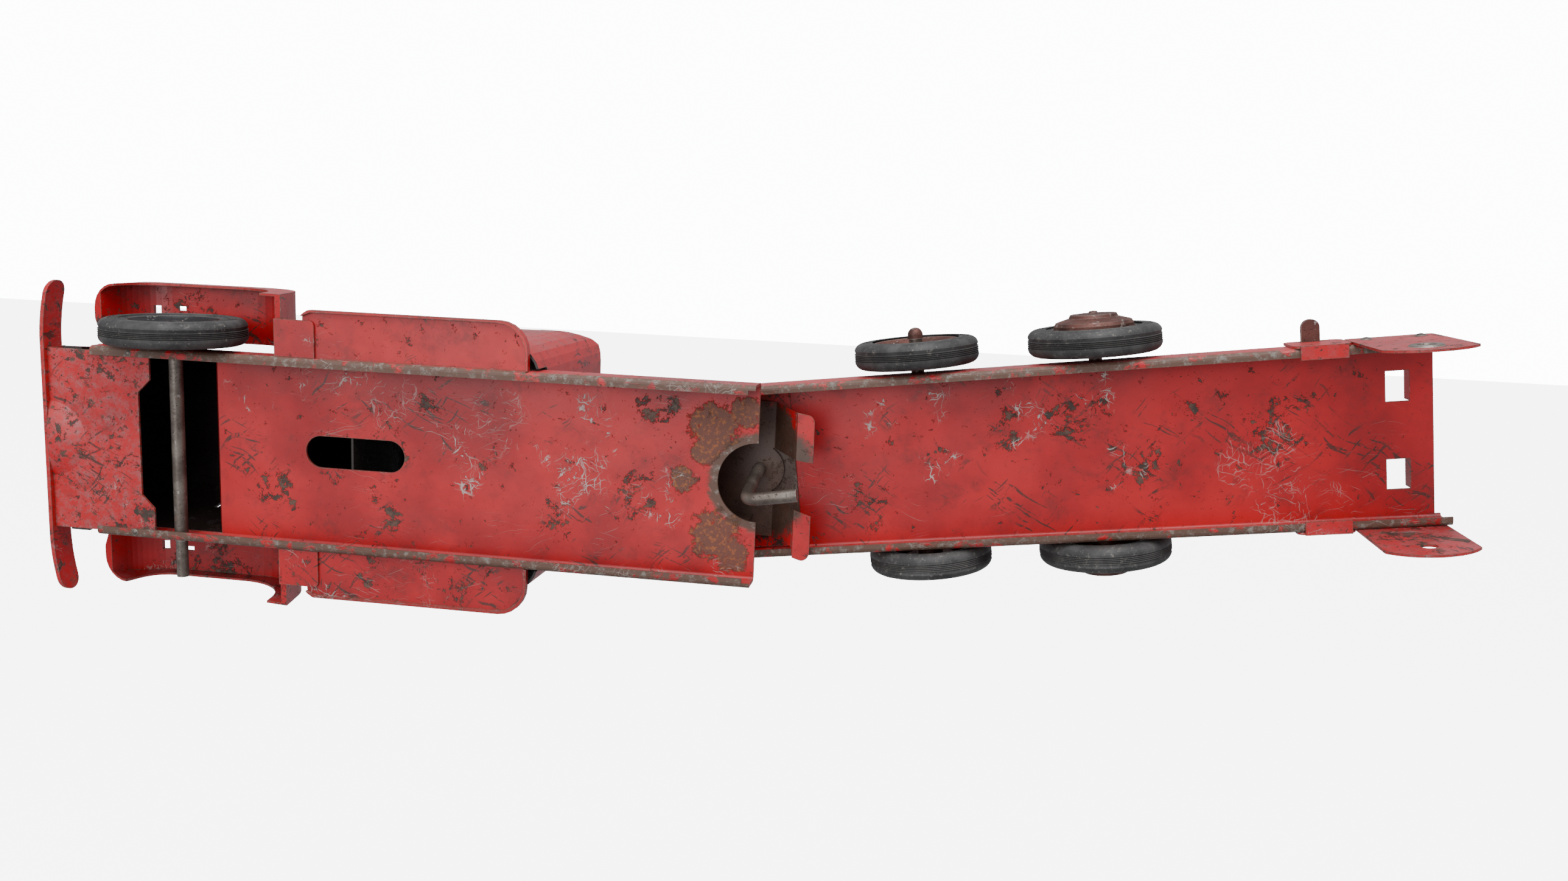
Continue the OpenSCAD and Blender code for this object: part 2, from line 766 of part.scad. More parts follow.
// Folded stand between the deck and the fifth wheel plate
module hitch_stand() {
    rear = 2;
    long = 20;
    wide = 38;
    foot = 6;
    high = fifth_z - deck_top;
    color(paint_red) on_tractor() translate([pin_x + rear, 0, deck_top]) difference() {
        union() {
            for (side = [-1, 1]) {
                translate([0, side * (wide - sheet) / 2 - sheet / 2, 0]) cube([long, sheet, high]);
                translate([0, side * (wide + foot) / 2 - foot / 2, 0]) cube([long, foot, sheet]);
            }
            translate([long - sheet, -wide / 2, 0]) cube([sheet, wide, high]);
        }
        translate([long - 2, -7, 8]) cube([4, 14, 10]);
    }
}

// Pin that hangs from the trailer's nose, leans aside below the plate and bends back
module hitch_pin() {
    head_h = 1.6;
    knee_z = fifth_z - 4;
    bend_z = hook_z + hook_bend_r;
    knee_swell = 0.03;
    color(bare_steel) on_trailer() rotate([0, 0, -hook_skew]) {
        translate([0, 0, knee_z]) cylinder(r = pin_r, h = bed_top - knee_z);
        translate([0, 0, bed_top]) cylinder(r = 1.8 * pin_r, h = head_h);
        translate([0, 0, knee_z]) rotate([-pin_lean, 0, 0]) {
            sphere(r = pin_r + knee_swell);
            translate([0, 0, bend_z - knee_z]) cylinder(r = pin_r, h = knee_z - bend_z);
            translate([-hook_bend_r, 0, bend_z - knee_z]) rotate([90, 0, 0])
                rotate_extrude(angle = -90) translate([hook_bend_r, 0]) circle(r = pin_r);
            translate([-hook_len, 0, hook_z - knee_z]) rotate([0, 90, 0])
                cylinder(r = pin_r, h = hook_len - hook_bend_r);
        }
    }
}

// ---- Trailer ----

module trailer_chassis() {
    hole_l = 8;
    hole_w = 11;
    hole_x = bed_rear + 10;
    hole_y = 16;
    color(paint_red) on_trailer() {
        difference() {
            translate([bed_rear, 0, bed_z]) channel(bed_len, bed_w, bed_d, bed_lip);
            for (side = [-1, 1]) translate([hole_x, side * hole_y - hole_w / 2, bed_z - 1])
                cube([hole_l, hole_w, sheet + 2]);
            translate([0, 0, bed_z - 1]) cylinder(r = pin_r, h = sheet + 2);
            translate([bed_rear - 1, -bed_w / 2 + bend_r, bed_z - 1])
                cube([3, bed_w - 2 * bend_r, sheet + 2]);
        }
        // Tongues of the two holes, bent up at their rear edges
        for (side = [-1, 1]) translate([hole_x - sheet, side * hole_y - hole_w / 2, bed_z])
            cube([sheet, hole_w, hole_l - 2]);
    }
}

module nose_doubler() {
    half = bed_w / 2 - bend_r;
    color(worn_red) on_trailer() difference() {
        translate([pin_setback - doubler_len, -half, doubler_z]) cube([doubler_len - 1, 2 * half, sheet]);
        translate([0, 0, doubler_z - 1]) cylinder(r = pin_r, h = sheet + 2);
    }
}

// Clips that lap the rails: a plate outside each rail, from low to high and long x
module rail_clips(x, long, low, high) {
    for (side = [-1, 1])
        translate([x, side * (bed_w + sheet) / 2, 0]) along_y(sheet) rounded([
            [0, low, 3], [long, low, 3], [long, high, 3], [0, high, 3]
        ]);
}

module nose_clips() {
    color(worn_red) on_trailer() rail_clips(pin_setback - 20, 20, bed_lip_z + 1.5, bed_top + 2);
}

module tail_clips() {
    color(worn_red) on_trailer() {
        difference() {
            rail_clips(ear_front + 0.3, 20, bed_lip_z, bed_top + 4);
            translate([lever_x - side_play, bed_w / 2 - 1, bed_top - side_play])
                cube([lever_w + 2 * side_play, sheet + 2, lever_t + 2 * side_play]);
        }
        for (side = [-1, 1])
            translate([ear_front + 2, side * (bed_w / 2 - 1.6) - 2.5, bed_lip_z - sheet])
                cube([16, 5, sheet]);
    }
}

// Ear outside the rail that carries the rear axle
module axle_ear(bore) {
    corner_z = bed_z - ear_drop - 4;
    arc_sag = 8;
    arc_r = (ear_len * ear_len / 4 + arc_sag * arc_sag) / (2 * arc_sag);
    translate([ear_x, 0, 0]) difference() {
        union() {
            along_y(sheet) rounded([
                [-ear_len / 2, corner_z, 0], [ear_len / 2, corner_z, 0],
                [ear_len / 2, bed_top + 1, 2], [-ear_len / 2, bed_top + 1, 2]
            ]);
            intersection() {
                translate([0, 0, corner_z - arc_sag + arc_r]) rod_y(arc_r, sheet);
                translate([-ear_len / 2, -1, corner_z - arc_sag]) cube([ear_len, 2, arc_sag]);
            }
        }
        translate([0, 0, bed_z - ear_drop]) rod_y(bore, 4 * sheet);
    }
}

eyelet_barrel = ear_hole_r + 1;
module left_axle_ear() {
    color(worn_red) on_trailer() translate([0, (bed_w + sheet) / 2, 0]) axle_ear(eyelet_barrel);
}

module right_axle_ear() {
    color(worn_red) on_trailer() translate([0, -(bed_w + sheet) / 2, 0]) axle_ear(ear_hole_r);
}

module ear_eyelet() {
    flange = 2 * ear_hole_r;
    roll = 0.6;
    color(bare_steel) on_trailer() translate([ear_x, bed_w / 2, bed_z - ear_drop]) rotate([-90, 0, 0])
        rotate_extrude($fn = 96) polygon([
            [ear_hole_r, -roll], [flange, -roll], [flange, 0], [eyelet_barrel, 0],
            [eyelet_barrel, sheet], [flange, sheet], [flange - 0.4, sheet + roll],
            [ear_hole_r + 0.4, sheet + roll], [ear_hole_r, sheet]
        ]);
}

module side_lever() {
    long = lever_root + lever_reach;
    color(rust_brown) on_trailer() translate([lever_x, bed_w / 2 - lever_root, bed_top])
        linear_extrude(lever_t) rounded([[0, 0, 1], [lever_w, 0, 1], [lever_w, long, 3], [0, long, 3]]);
}

// Cross wall of a cradle, cut to the tank's round
module cradle_wall(x, half_w) {
    high = tank_z - bed_top - 0.55 * tank_r;
    difference() {
        translate([x, 0, bed_top]) along_x(sheet)
            polygon([[-half_w, 0], [half_w, 0], [half_w - 6, high], [6 - half_w, high]]);
        translate([x, 0, tank_z]) rotate([0, 90, 0]) cylinder(r = tank_r, h = 4, center = true, $fn = 128);
    }
}

saddle_half_w = bed_w / 2 - 5;
saddle_l = 18;

// Saddle: two cross walls and two cheeks with the axle's bores
module saddle(x) {
    cheek_h = axle_rise + axle_r + 4;
    color(worn_red) on_trailer() translate([x, 0, 0]) difference() {
        union() {
            for (wall = [-saddle_l / 2, saddle_l / 2 - sheet]) cradle_wall(wall, saddle_half_w);
            for (side = [-1, 1]) translate([-saddle_l / 2, side * (saddle_half_w - 3.2) - sheet / 2, bed_top])
                cube([saddle_l, sheet, cheek_h - sheet]);
        }
        translate([0, 0, saddle_axle_z]) rod_y(axle_r + running_fit, bed_w);
    }
}

module front_saddle() {
    saddle(axle_1_x);
}

module rear_saddle() {
    saddle(axle_2_x);
}

module end_cradle(x) {
    color(worn_red) on_trailer() translate([x, 0, 0]) {
        for (wall = [-5, 5 - sheet]) cradle_wall(wall, saddle_half_w - 2);
        for (side = [-1, 1]) translate([-5, side * (saddle_half_w - 8) - 3, bed_top]) cube([10, 6, sheet]);
    }
}

front_cradle_x = tank_front - 16;
rear_cradle_x = tank_rear + 16;

module front_cradle() {
    end_cradle(front_cradle_x);
}

module rear_cradle() {
    end_cradle(rear_cradle_x);
}

module tank_barrel() {
    color(paint_red) on_trailer() translate([tank_rear, 0, tank_z]) rotate([0, 90, 0]) difference() {
        cylinder(r = tank_r, h = tank_len, $fn = 128);
        translate([0, 0, -1]) cylinder(r = tank_r - sheet, h = tank_len + 2, $fn = 128);
        for (x = filler_xs)
            translate([0, 0, x - tank_rear]) rotate([0, -90, 0])
                cylinder(r = filler_r - sheet, h = 2 * tank_r);
    }
}

// Dished end with a rim that fits inside the barrel
module tank_head() {
    dome_r = (tank_r * tank_r + head_bulge * head_bulge) / (2 * head_bulge);
    rim = 5;
    fit = 0.02;
    intersection() {
        difference() {
            union() {
                translate([0, 0, head_bulge - dome_r]) sphere(r = dome_r, $fn = 128);
                translate([0, 0, -rim]) cylinder(r = tank_r - sheet - fit, h = rim, $fn = 128);
            }
            translate([0, 0, head_bulge - dome_r]) sphere(r = dome_r - sheet, $fn = 128);
            translate([0, 0, -rim - 1]) cylinder(r = tank_r - 2 * sheet - fit, h = rim + 1, $fn = 128);
        }
        union() {
            cylinder(r = tank_r, h = head_bulge + 1, $fn = 128);
            translate([0, 0, -rim]) cylinder(r = tank_r - sheet - fit, h = rim, $fn = 128);
        }
    }
}

module tank_front_head() {
    color(paint_red) on_trailer() translate([tank_front, 0, tank_z]) rotate([0, 90, 0]) tank_head();
}

module tank_rear_head() {
    color(paint_red) on_trailer() translate([tank_rear, 0, tank_z]) rotate([0, -90, 0]) tank_head();
}

// Straps over the barrel at the end cradles
module tank_straps() {
    strap_w = 6;
    color(worn_red) on_trailer() for (x = [front_cradle_x, rear_cradle_x])
        translate([x, 0, tank_z]) rotate([0, 90, 0]) difference() {
            cylinder(r = tank_r + sheet, h = strap_w, center = true, $fn = 128);
            cylinder(r = tank_r, h = strap_w + 1, center = true, $fn = 128);
            translate([1.45 * tank_r, 0, 0])
                cube([2 * tank_r, 3 * tank_r, strap_w + 1], center = true);
        }
}

filler_xs = [for (i = [1:3]) tank_front - i * tank_len / 4];

module filler_necks() {
    color(paint_red) on_trailer() for (x = filler_xs) translate([x, 0, tank_z]) difference() {
        cylinder(r = filler_r, h = tank_r + filler_h);
        translate([0, 0, -1]) cylinder(r = filler_r - sheet, h = tank_r + filler_h + 2);
        rotate([0, 90, 0]) cylinder(r = tank_r, h = 3 * filler_r, center = true, $fn = 128);
    }
}

module filler_lids() {
    color(worn_red) on_trailer() for (x = filler_xs) translate([x, 0, tank_z + tank_r + filler_h]) {
        cylinder(r = filler_r + 0.8, h = sheet);
        translate([0, 0, sheet]) rivet(filler_r - 2);
        translate([0, 0, sheet]) cylinder(r = 1.6, h = 4);
        translate([0, 0, -2]) difference() {
            cylinder(r = filler_r - sheet - 0.1, h = 2);
            translate([0, 0, -1]) cylinder(r = filler_r - 2 * sheet - 0.1, h = 4);
        }
    }
}

// ---- Rivets ----

module tractor_rivets() {
    color(bare_steel) on_tractor() {
        for (side = [-1, 1]) {
            // Front plate to the lips
            translate([plate_rear + 8, side * (chassis_w / 2 - 2.2), lip_z]) mirror([0, 0, 1]) rivet(1.2);
            // Bumper to the plate's folded edge
            translate([nose_x, side * 24, lip_top + 4.5]) rotate([0, 90, 0]) rivet();
        }
    }
}

module trailer_rivets() {
    color(bare_steel) on_trailer() {
        for (side = [-1, 1]) {
            for (x = [-9, 9]) translate([ear_x + x, side * (bed_w / 2 + sheet), bed_z - 5])
                rotate([-90 * side, 0, 0]) rivet();
            translate([pin_setback - 10, side * (bed_w / 2 + sheet), bed_z - 5])
                rotate([-90 * side, 0, 0]) rivet();
        }
    }
}

module first_left_tyre() {
    trailer_tyre(axle_1_x, left_wheel_y, 1, tyre_1_r, hub_1_r);
}

module first_left_hub() {
    trailer_hub(axle_1_x, left_wheel_y, 1, hub_1_r, 3.2);
}

module first_right_tyre() {
    trailer_tyre(axle_1_x, right_wheel_y, -1, tyre_1_r, hub_1_r);
}

module first_right_hub() {
    trailer_hub(axle_1_x, right_wheel_y, -1, hub_1_r, 3.2);
}

module second_left_tyre() {
    trailer_tyre(axle_2_x, left_wheel_y, 1, tyre_2_r, hub_2_r);
}

module second_left_hub() {
    trailer_hub(axle_2_x, left_wheel_y, 1, hub_2_r, 2);
}

module second_left_hubcap() {
    hubcap(left_wheel_y, 1);
}

module second_right_tyre() {
    trailer_tyre(axle_2_x, right_wheel_y, -1, tyre_2_r, hub_2_r);
}

module second_right_hub() {
    trailer_hub(axle_2_x, right_wheel_y, -1, hub_2_r, 2);
}

module second_right_hubcap() {
    hubcap(right_wheel_y, -1);
}

tractor_chassis();
front_plate();
bumper();
grille();
hood();
cab();
cab_roof();
left_fender();
right_fender();
left_running_board();
right_running_board();
front_axle();
front_tyre();
front_hub();
fifth_wheel();
hitch_stand();
tractor_rivets();
trailer_chassis();
nose_doubler();
hitch_pin();
nose_clips();
tail_clips();
left_axle_ear();
right_axle_ear();
ear_eyelet();
side_lever();
trailer_rivets();
front_saddle();
rear_saddle();
front_cradle();
rear_cradle();
first_axle();
second_axle();
first_axle_caps();
tank_barrel();
tank_front_head();
tank_rear_head();
tank_straps();
filler_necks();
filler_lids();
first_left_tyre();
first_left_hub();
first_right_tyre();
first_right_hub();
second_left_tyre();
second_left_hub();
second_left_hubcap();
second_right_tyre();
second_right_hub();
second_right_hubcap();
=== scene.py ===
"""Looks of the articulated toy tanker truck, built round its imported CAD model."""

import math

import bpy
from mathutils import Matrix, Vector


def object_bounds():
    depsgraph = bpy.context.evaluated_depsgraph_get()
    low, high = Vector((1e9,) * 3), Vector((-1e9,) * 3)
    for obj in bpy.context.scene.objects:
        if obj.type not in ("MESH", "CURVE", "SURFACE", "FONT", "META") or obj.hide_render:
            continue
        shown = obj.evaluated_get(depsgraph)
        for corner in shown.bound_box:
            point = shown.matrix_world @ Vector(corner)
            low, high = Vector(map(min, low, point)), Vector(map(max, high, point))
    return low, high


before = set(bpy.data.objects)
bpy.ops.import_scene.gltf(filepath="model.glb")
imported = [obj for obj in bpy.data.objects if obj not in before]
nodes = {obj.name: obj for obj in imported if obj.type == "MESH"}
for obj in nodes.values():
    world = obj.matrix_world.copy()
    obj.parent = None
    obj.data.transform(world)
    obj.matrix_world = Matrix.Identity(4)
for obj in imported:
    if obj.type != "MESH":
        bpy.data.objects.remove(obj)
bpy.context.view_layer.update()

# Colours, linear
RED = (0.43, 0.004, 0.008)
DEEP_RED = (0.25, 0.002, 0.005)
# faded red; also the colour of the painted sheen on faces turned to ±Y
FADED_RED_AND_SHEEN = (0.25, 0.09, 0.09)
STAIN = (0.06, 0.012, 0.01)
BROWN = (0.09, 0.045, 0.03)
DARK_BROWN = (0.03, 0.016, 0.011)
ORANGE_RUST = (0.26, 0.09, 0.025)
GREY_STEEL = (0.17, 0.145, 0.125)
PALE_STEEL = (0.4, 0.37, 0.34)
BLACK = (0.014, 0.014, 0.015)
DUST = (0.26, 0.24, 0.2)
# near-black painted shade for the hollows of the cab and hood
HOLLOW_SHADE = (0.012, 0.007, 0.006)

# Where the marks are, as (x, y, z, radius) in millimetres
NOTCH = (-16.4, -3.7, 32.5)
SCRAPES = [
    (98, 1, 32, 9), (93, -11, 32, 8), (43, 19, 32, 9), (40, 12, 32, 6), (63, 5, 32, 6),
    (50, -4, 32, 11),
    (56, -16, 32, 8), (25, -11, 32, 6), (182, 14, 32, 6), (158, 25, 32, 5), (12, -2, 32, 6),
    (16, -13, 32, 7), (139, 23, 32, 9), (81, 2, 32, 6), (106, 5, 32, 5), (-2, -37, 32, 7),
    (-79, 26, 63, 8), (-113, 19, 63, 7), (-106, 39, 63, 9), (-140, 34, 63, 9), (-151, 8, 63, 7),
    (-83, 3, 63, 6), (-57, 20, 63, 6), (-118, 21, 63, 8),
]
STAINS = [
    (173, -20, 32, 13), (128, -24, 32, 10), (107, 16, 32, 10), (147, 5, 32, 10), (125, 3, 32, 13),
    (32, -10, 32, 13), (147, -10, 32, 8), (87, -6, 32, 9), (60, -20, 32, 12), (20, 20, 32, 10),
    (-80, 8, 63, 8), (-104, 18, 63, 11), (-131, 26, 63, 15), (-154, 7, 63, 13), (-205, 29, 63, 14),
    (-197, 22, 63, 11), (-52, -2, 63, 8), (-56, -14, 63, 8), (-175, 30, 63, 10),
]
HITCH = (-12.4, -3.7, 58, 34)
RUST = [
    (0, 16, 32, 15), (3, 7, 32, 9), (-1, -24, 32, 15), (-8, -31, 32, 11), (11, -4, 32, 8),
    (-12, 22, 32, 10),
]


MM_PER_M = 1000
SPOT_CORE = 0.25
BEVEL_SAMPLES = 6
FLOOR_GAP = 0.24
FLOOR_REACH = 4.0
FLOOR_GLOW = 6
BACKDROP_LIT = 0.6
BACKDROP_SEEN = 14


class Graph:
    """One material's node graph. Places are in millimetres of the row frame."""

    def __init__(self, name):
        self.material = bpy.data.materials.new(name)
        self.material.use_nodes = True
        self.tree = self.material.node_tree
        self.tree.nodes.clear()
        self.shader = self.node("ShaderNodeBsdfPrincipled")
        output = self.node("ShaderNodeOutputMaterial")
        self.link(self.shader.outputs["BSDF"], output.inputs["Surface"])
        place = self.node("ShaderNodeTexCoord")
        scale = self.node("ShaderNodeVectorMath", operation="SCALE")
        self.link(place.outputs["Object"], scale.inputs[0])
        scale.inputs["Scale"].default_value = MM_PER_M
        self.mm = scale.outputs[0]

    def node(self, kind, **settings):
        made = self.tree.nodes.new(kind)
        for key, value in settings.items():
            setattr(made, key, value)
        return made

    def link(self, source, target):
        self.tree.links.new(source, target)

    def feed(self, socket, value):
        if isinstance(value, bpy.types.NodeSocket):
            self.link(value, socket)
        elif isinstance(value, tuple) and len(value) == 3 and socket.type == "RGBA":
            socket.default_value = (*value, 1)
        else:
            socket.default_value = value

    def math(self, operation, a, b=0.0):
        made = self.node("ShaderNodeMath", operation=operation)
        self.feed(made.inputs[0], a)
        self.feed(made.inputs[1], b)
        return made.outputs[0]

    def plus(self, a, b):
        return self.math("ADD", a, b)

    def times(self, a, b):
        return self.math("MULTIPLY", a, b)

    def highest(self, *values):
        result = values[0]
        for value in values[1:]:
            result = self.math("MAXIMUM", result, value)
        return result

    def step(self, value, low, high, to=1.0):
        """0 below low, to above high, with a smooth rise between."""
        made = self.node("ShaderNodeMapRange", interpolation_type="SMOOTHSTEP")
        self.feed(made.inputs["Value"], value)
        made.inputs["From Min"].default_value = low
        made.inputs["From Max"].default_value = high
        made.inputs["To Max"].default_value = to
        return made.outputs["Result"]

    def mix(self, amount, a, b):
        made = self.node("ShaderNodeMix", data_type="RGBA")
        self.feed(made.inputs[0], amount)
        self.feed(made.inputs[6], a)
        self.feed(made.inputs[7], b)
        return made.outputs[2]

    def noise(self, size, detail, roughness, at=None):
        made = self.node("ShaderNodeTexNoise")
        self.link(at or self.mm, made.inputs["Vector"])
        made.inputs["Scale"].default_value = 1 / size
        made.inputs["Detail"].default_value = detail
        made.inputs["Roughness"].default_value = roughness
        return made.outputs["Fac"]

    def warped(self, size, reach):
        """The place, pushed about by up to reach millimetres."""
        made = self.node("ShaderNodeTexNoise")
        self.link(self.mm, made.inputs["Vector"])
        made.inputs["Scale"].default_value = 1 / size
        centred = self.node("ShaderNodeVectorMath", operation="SUBTRACT")
        self.link(made.outputs["Color"], centred.inputs[0])
        centred.inputs[1].default_value = (0.5, 0.5, 0.5)
        push = self.node("ShaderNodeVectorMath", operation="SCALE")
        self.link(centred.outputs[0], push.inputs[0])
        push.inputs["Scale"].default_value = reach
        moved = self.node("ShaderNodeVectorMath", operation="ADD")
        self.link(self.mm, moved.inputs[0])
        self.link(push.outputs[0], moved.inputs[1])
        return moved.outputs[0]

    def streaks(self, at, angle, length, width, seed, low, high):
        """Thin marks that run at an angle to X, from a noise stretched along it."""
        made = self.node("ShaderNodeMapping", vector_type="TEXTURE")
        self.link(at, made.inputs["Vector"])
        made.inputs["Location"].default_value = (37.0 * seed, 11.0 * seed, 23.0 * seed)
        made.inputs["Rotation"].default_value = (0, 0, math.radians(angle))
        made.inputs["Scale"].default_value = (length, width, 6 * width)
        return self.step(self.noise(1, 1, 0.5, at=made.outputs[0]), low, high)

    def distance(self, place, at=None):
        made = self.node("ShaderNodeVectorMath", operation="DISTANCE")
        self.link(at or self.mm, made.inputs[0])
        made.inputs[1].default_value = place
        return made.outputs["Value"]

    def spots(self, places, at=None):
        """Soft blobs round (x, y, z, radius), the nearest one counting most."""
        result = 0.0
        for x, y, z, radius in places:
            blob = self.step(self.distance((x, y, z), at), radius, SPOT_CORE * radius)
            result = self.math("MAXIMUM", result, blob)
        return result

    def edges(self, width):
        """1 on sharp edges and near them, from how far a bevel would turn the surface."""
        bevel = self.node("ShaderNodeBevel", samples=BEVEL_SAMPLES)
        bevel.inputs["Radius"].default_value = width / MM_PER_M
        shape = self.node("ShaderNodeNewGeometry")
        dot = self.node("ShaderNodeVectorMath", operation="DOT_PRODUCT")
        self.link(bevel.outputs[0], dot.inputs[0])
        self.link(shape.outputs["Normal"], dot.inputs[1])
        return self.math("SUBTRACT", 1.0, dot.outputs["Value"])

    def part_of(self, vector, axis):
        parts = self.node("ShaderNodeSeparateXYZ")
        self.link(vector, parts.inputs[0])
        return parts.outputs[axis]

    def facing(self):
        """The surface's own direction, which turns with its body."""
        return self.node("ShaderNodeTexCoord").outputs["Normal"]

    def inside(self, centre):
        """1 where the surface faces the middle of a hollow, and on faces turned down: the mask of the
        painted shade.
        """
        away = self.node("ShaderNodeVectorMath", operation="SUBTRACT")
        self.link(self.mm, away.inputs[0])
        away.inputs[1].default_value = centre
        dot = self.node("ShaderNodeVectorMath", operation="DOT_PRODUCT")
        self.link(away.outputs[0], dot.inputs[0])
        self.link(self.facing(), dot.inputs[1])
        under = self.step(self.part_of(self.facing(), "Z"), -0.8, -0.9)
        return self.highest(self.step(dot.outputs["Value"], 0.5, -0.5), under)

    def finish(self, colour, roughness, bump, depth, metallic=0.0):
        self.feed(self.shader.inputs["Base Color"], colour)
        self.feed(self.shader.inputs["Roughness"], roughness)
        self.feed(self.shader.inputs["Metallic"], metallic)
        made = self.node("ShaderNodeBump")
        made.inputs["Strength"].default_value = 1
        made.inputs["Distance"].default_value = depth / MM_PER_M
        self.feed(made.inputs["Height"], bump)
        self.link(made.outputs[0], self.shader.inputs["Normal"])
        return self.material


def enamel(name, wear=0.0, lip=None, hollow=None, marked=False, dull=0.0, browned_round_pin=False):
    """Old red enamel: grime, chips down to brown steel, pale scratches and worn edges, plus a painted
    sheen on faces turned to ±Y.

    lip is the height under which the folded lips are rubbed bare, and hollow the middle of
    a shell whose inner faces, with all its faces turned down, get near-black painted shade. The last
    argument turns parts dark brown round the hitch pin.
    """
    g = Graph(name)
    loose = g.warped(26, 14)
    ragged = g.warped(5, 5)
    torn = g.warped(11, 34)
    fine = g.noise(5, 6, 0.72)
    colour = g.mix(g.step(g.noise(48, 5, 0.6), 0.36, 0.68), RED, DEEP_RED)
    cloudy = g.times(g.step(g.noise(13, 8, 0.7, at=loose), 0.47, 0.7), g.step(fine, 0.36, 0.62))
    colour = g.mix(g.times(cloudy, 0.55), colour, STAIN)
    # Painted sheen: faces turned to ±Y get a paler, duller red, as if lit at a graze. The same colour
    # also serves the random faded patches below.
    sides = g.math("ABSOLUTE", g.part_of(g.facing(), "Y"))
    painted_side_sheen = g.times(g.step(sides, 0.6, 0.9), g.step(fine, 0.3, 0.7, 0.6))
    colour = g.mix(g.highest(painted_side_sheen, g.step(g.noise(3, 6, 0.75), 0.4, 0.75, dull)), colour, FADED_RED_AND_SHEEN)

    hit = g.spots(SCRAPES, torn) if marked else g.step(g.noise(24, 5, 0.6), 0.6, 0.72)
    stained = g.spots(STAINS, torn) if marked else g.step(g.noise(33, 5, 0.6), 0.5, 0.66, 0.8)
    density = g.plus(g.times(stained, 0.11), wear)
    chips = g.step(g.plus(g.noise(5.5, 8, 0.76, at=loose), density), 0.62, 0.65)
    specks = g.step(g.plus(g.noise(1.5, 4, 0.65, at=ragged), g.times(density, 0.7)), 0.67, 0.7)
    creases = g.highest(
        g.streaks(loose, 31, 17, 1.5, 3, 0.63, 0.66),
        g.streaks(loose, -48, 13, 1.3, 5, 0.64, 0.67),
    )
    creases = g.times(creases, g.highest(stained, g.step(g.noise(29, 2, 0.5), 0.52, 0.62)))
    creases = g.times(creases, g.step(g.noise(2.4, 5, 0.75), 0.4, 0.5))

    flakes = g.plus(g.noise(3.4, 7, 0.76, at=ragged), g.times(hit, 0.16))
    flakes = g.step(flakes, 0.71, 0.725)
    scores = g.highest(
        g.streaks(ragged, 82, 12, 0.6, 1, 0.64, 0.67),
        g.streaks(ragged, 17, 15, 0.55, 2, 0.65, 0.68),
        g.streaks(ragged, -37, 11, 0.6, 4, 0.65, 0.68),
    )
    scores = g.times(scores, g.highest(hit, g.step(g.noise(37, 2, 0.5), 0.62, 0.66, 0.4)))
    hairs = g.highest(
        g.streaks(loose, 8, 60, 0.35, 7, 0.7, 0.715),
        g.streaks(loose, -24, 45, 0.35, 8, 0.705, 0.72),
    )
    hairs = g.times(hairs, g.step(g.noise(44, 2, 0.5), 0.54, 0.64, 0.4))
    pale = g.highest(flakes, scores, hairs)

    bare = g.step(g.times(g.edges(0.7), g.step(g.noise(4, 5, 0.7), 0.3, 0.55)), 0.02, 0.1)
    if lip is not None:
        level = g.plus(g.part_of(g.mm, "Z"), g.times(g.noise(9, 5, 0.7), 2.4))
        gaps = g.step(g.noise(8, 5, 0.68, at=loose), 0.36, 0.46)
        rubbed = g.times(g.step(level, lip + 2.3, lip + 1.1), gaps)
        bare = g.highest(bare, rubbed)
    rusted = g.step(g.noise(17, 2, 0.5), 0.72, 0.78)
    if marked:
        patch = g.times(g.spots(RUST), 0.4)
        rusted = g.step(g.plus(patch, g.noise(4.5, 8, 0.76, at=ragged)), 0.68, 0.77)
        reach = g.plus(g.distance(NOTCH), g.times(g.noise(6, 6, 0.72), 9))
        bare = g.highest(bare, g.step(reach, 24, 21.5))

    steel = g.mix(g.step(g.noise(3, 6, 0.75), 0.5, 0.66), BROWN, GREY_STEEL)
    colour = g.mix(g.highest(chips, specks), colour, g.mix(g.step(fine, 0.42, 0.6), DARK_BROWN, BROWN))
    colour = g.mix(g.times(creases, 0.85), colour, DARK_BROWN)
    colour = g.mix(bare, colour, steel)
    # Dark brown round the hitch pin, fading out with distance.
    if browned_round_pin:
        near = g.plus(g.spots([HITCH]), g.times(g.noise(5, 5, 0.7), 0.5))
        colour = g.mix(g.step(near, 0.36, 0.56), colour, g.mix(fine, DARK_BROWN, BROWN))
    rust_tone = g.mix(g.step(g.noise(1.9, 6, 0.75), 0.5, 0.64), BROWN, ORANGE_RUST)
    colour = g.mix(g.times(rusted, 0.9), colour, rust_tone)
    colour = g.mix(g.times(pale, 0.8), colour, PALE_STEEL)
    # Painted shade: the shell's inner faces and its faces turned down go near-black.
    if hollow is not None:
        colour = g.mix(g.inside(hollow), colour, HOLLOW_SHADE)

    harm = g.highest(chips, specks, bare, pale)
    rough = g.plus(0.34, g.times(fine, 0.16))
    rough = g.plus(rough, g.times(harm, 0.2))
    rough = g.plus(rough, g.times(rusted, 0.3))
    relief = g.math("SUBTRACT", g.times(g.noise(30, 2, 0.4), 2.2), g.times(harm, 0.3))
    relief = g.plus(relief, g.times(g.times(rusted, fine), 0.8))
    return g.finish(colour, rough, relief, 0.3)


